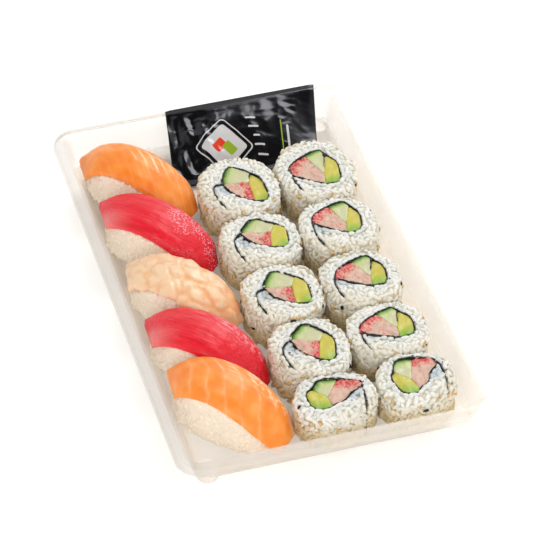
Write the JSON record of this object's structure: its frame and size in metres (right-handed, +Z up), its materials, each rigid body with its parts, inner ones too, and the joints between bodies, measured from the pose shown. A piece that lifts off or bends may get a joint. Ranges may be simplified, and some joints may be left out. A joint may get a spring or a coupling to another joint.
{
  "type": "takeaway sushi tray",
  "caption": "Clear thermoformed takeaway tray filled with sushi: nigiri along one side, cut inside-out rolls beside them and a sauce sachet leaning on the rim.",
  "frame": {"origin": "on the ground under the middle of the tray, level with the bottoms of its four feet", "axes": "+Z up; +Y along the tray, away from the front edge; +X across it, from the nigiri to the rolls"},
  "size_m": [0.158, 0.262, 0.0389],
  "materials": {
    "clear_plastic": "clear thermoformed polyester sheet, glossy, with soft formed edges",
    "black_film": "glossy printed black film, crinkled, with a crimped seal",
    "rice": "cooked short-grain rice, moist white grains",
    "salmon": "raw salmon slice, wet, orange with pale fat lines",
    "tuna": "raw tuna slice, wet, deep red with fine fibres",
    "shrimp": "cooked shrimp, white with pale orange bands",
    "crab": "shredded crab stick, white and pink",
    "cucumber": "cut cucumber, pale wet flesh with a green skin",
    "avocado": "cut avocado, yellow flesh turning green at the skin"
  },
  "bodies": {
    "root": {"tray": "clear_plastic", "sachet": "black_film", "nigiri_salmon_1_rice": "rice", "nigiri_salmon_1_topping": "salmon", "nigiri_tuna_1_rice": "rice", "nigiri_tuna_1_topping": "tuna", "nigiri_shrimp_rice": "rice", "nigiri_shrimp_topping": "shrimp", "nigiri_tuna_2_rice": "rice", "nigiri_tuna_2_topping": "tuna", "nigiri_salmon_2_rice": "rice", "nigiri_salmon_2_topping": "salmon", "roll_left_1_rice": "rice", "roll_left_1_avocado": "avocado", "roll_left_1_cucumber": "cucumber", "roll_left_1_crab": "crab", "roll_left_2_rice": "rice", "roll_left_2_avocado": "avocado", "roll_left_2_cucumber": "cucumber", "roll_left_2_crab": "crab", "roll_left_3_rice": "rice", "roll_left_3_avocado": "avocado", "roll_left_3_cucumber": "cucumber", "roll_left_3_crab": "crab", "roll_left_4_rice": "rice", "roll_left_4_avocado": "avocado", "roll_left_4_cucumber": "cucumber", "roll_left_4_crab": "crab", "roll_left_5_rice": "rice", "roll_left_5_avocado": "avocado", "roll_left_5_crab": "crab", "roll_left_5_cucumber": "cucumber", "roll_right_1_rice": "rice", "roll_right_1_avocado": "avocado", "roll_right_1_cucumber": "cucumber", "roll_right_1_crab": "crab", "roll_right_2_rice": "rice", "roll_right_2_avocado": "avocado", "roll_right_2_cucumber": "cucumber", "roll_right_2_crab": "crab", "roll_right_3_rice": "rice", "roll_right_3_avocado": "avocado", "roll_right_3_cucumber": "cucumber", "roll_right_3_crab": "crab", "roll_right_4_rice": "rice", "roll_right_4_avocado": "avocado", "roll_right_4_cucumber": "cucumber", "roll_right_4_crab": "crab", "roll_right_5_rice": "rice", "roll_right_5_avocado": "avocado", "roll_right_5_crab": "crab", "roll_right_5_cucumber": "cucumber"}
  },
  "joints": []
}
